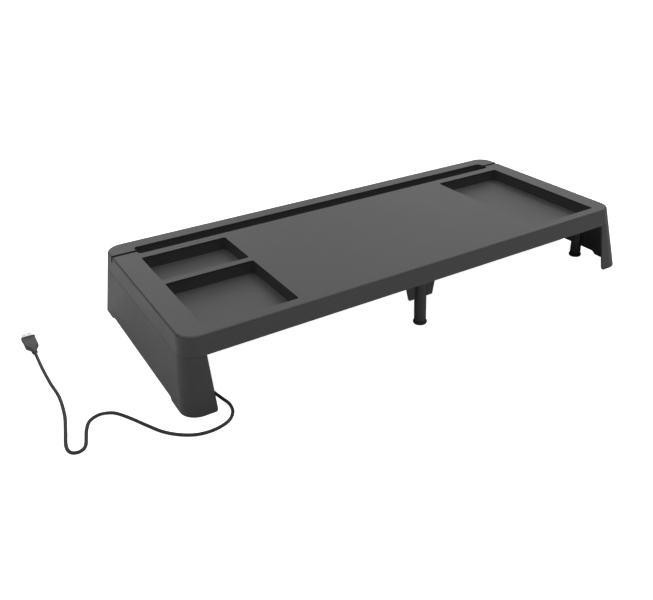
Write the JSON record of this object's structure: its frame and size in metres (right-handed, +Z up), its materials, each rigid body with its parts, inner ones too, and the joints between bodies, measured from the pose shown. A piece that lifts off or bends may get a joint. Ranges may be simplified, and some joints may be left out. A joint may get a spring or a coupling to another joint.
{
  "type": "monitor riser stand",
  "caption": "Low, wide desktop monitor riser: a moulded deck with trays, a long slot, two shell legs, round posts with levelling feet and a hub with a lead.",
  "frame": {"origin": "on the desk surface, under the centre of the stand, without its lead and plug", "axes": "+X along the stand's width, to the right seen from the front; +Y to the back; +Z up"},
  "size_m": [0.8067, 0.3559, 0.091],
  "materials": {
    "deck_plastic": "fine moulded grain, matte",
    "leg_plastic": "fine moulded grain, matte",
    "post_plastic": "smooth moulded, satin",
    "foot_plastic": "smooth moulded",
    "pad_rubber": "matte, slightly ribbed",
    "insert_brass": "knurled",
    "screw_steel": "zinc plated",
    "hub_plastic": "fine spark grain",
    "board_green": "solder mask",
    "chip_black": "moulded package",
    "socket_metal": "tin plated",
    "tongue_white": "moulded",
    "lead_rubber": "soft extruded sheath",
    "plug_rubber": "soft overmould"
  },
  "bodies": {
    "stand": {"deck_shell": "deck_plastic", "left_leg": "leg_plastic", "right_leg": "leg_plastic", "front_centre_post": "post_plastic", "rear_centre_post": "post_plastic", "left_front_post": "post_plastic", "left_rear_post": "post_plastic", "right_front_post": "post_plastic", "right_rear_post": "post_plastic", "thread_inserts": "insert_brass", "left_leg_screws": "screw_steel", "right_leg_screws": "screw_steel", "post_screws": "screw_steel", "hub_housing": "hub_plastic", "hub_cover": "hub_plastic", "hub_board": "board_green", "hub_chip": "chip_black", "hub_screws": "screw_steel", "hub_socket_1": "socket_metal", "hub_socket_2": "socket_metal", "hub_socket_3": "socket_metal", "hub_tongue_1": "tongue_white", "hub_tongue_2": "tongue_white", "hub_tongue_3": "tongue_white", "strain_relief": "lead_rubber", "lead": "lead_rubber", "plug_body": "plug_rubber", "plug_shell": "socket_metal", "plug_tongue": "tongue_white"},
    "front_centre_leveller": {"front_centre_foot": "foot_plastic", "front_centre_pad": "pad_rubber"},
    "rear_centre_leveller": {"rear_centre_foot": "foot_plastic", "rear_centre_pad": "pad_rubber"},
    "left_front_leveller": {"left_front_foot": "foot_plastic", "left_front_pad": "pad_rubber"},
    "left_rear_leveller": {"left_rear_foot": "foot_plastic", "left_rear_pad": "pad_rubber"},
    "right_front_leveller": {"right_front_foot": "foot_plastic", "right_front_pad": "pad_rubber"},
    "right_rear_leveller": {"right_rear_foot": "foot_plastic", "right_rear_pad": "pad_rubber"}
  },
  "joints": [
    {"name": "front_centre_level", "type": "slide", "parent": "stand", "child": "front_centre_leveller", "axis": [0, 0, -1], "range_m": [0, 0.006]},
    {"name": "rear_centre_level", "type": "slide", "parent": "stand", "child": "rear_centre_leveller", "axis": [0, 0, -1], "range_m": [0, 0.006]},
    {"name": "left_front_level", "type": "slide", "parent": "stand", "child": "left_front_leveller", "axis": [0, 0, -1], "range_m": [0, 0.006]},
    {"name": "left_rear_level", "type": "slide", "parent": "stand", "child": "left_rear_leveller", "axis": [0, 0, -1], "range_m": [0, 0.006]},
    {"name": "right_front_level", "type": "slide", "parent": "stand", "child": "right_front_leveller", "axis": [0, 0, -1], "range_m": [0, 0.006]},
    {"name": "right_rear_level", "type": "slide", "parent": "stand", "child": "right_rear_leveller", "axis": [0, 0, -1], "range_m": [0, 0.006]}
  ]
}
